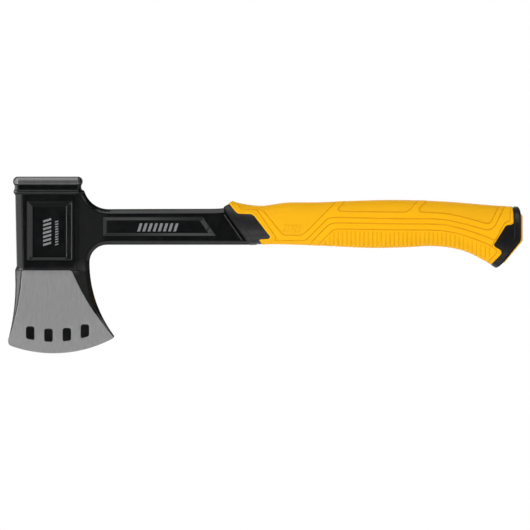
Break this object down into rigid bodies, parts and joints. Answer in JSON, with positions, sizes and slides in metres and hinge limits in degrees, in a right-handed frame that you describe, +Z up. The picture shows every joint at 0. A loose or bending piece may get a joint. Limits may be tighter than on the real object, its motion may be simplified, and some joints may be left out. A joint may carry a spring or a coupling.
{
  "type": "camp axe",
  "caption": "Forged steel hand axe with a square hammer poll, flared ground bit, bevelled shank, and a moulded yellow grip with dark collar and butt.",
  "frame": {"origin": "centre of the whole axe's bounding box", "axes": "+Z up through the flat poll face, away from the cutting edge; +X along the handle from the head to the butt; Y across the thickness"},
  "size_m": [0.3554, 0.0266, 0.1218],
  "materials": {
    "coated_steel": "satin black coating on forged steel",
    "ground_steel": "bare steel ground in one direction",
    "yellow_grip": "matte soft moulding",
    "black_moulding": "fine matte texture",
    "core_nylon": "plain moulded"
  },
  "bodies": {
    "root": {"axe_forging": "coated_steel", "grip_core": "core_nylon", "front_collar": "black_moulding", "grip_cover": "yellow_grip", "butt_cap": "black_moulding", "butt_bumper": "yellow_grip"}
  },
  "joints": []
}
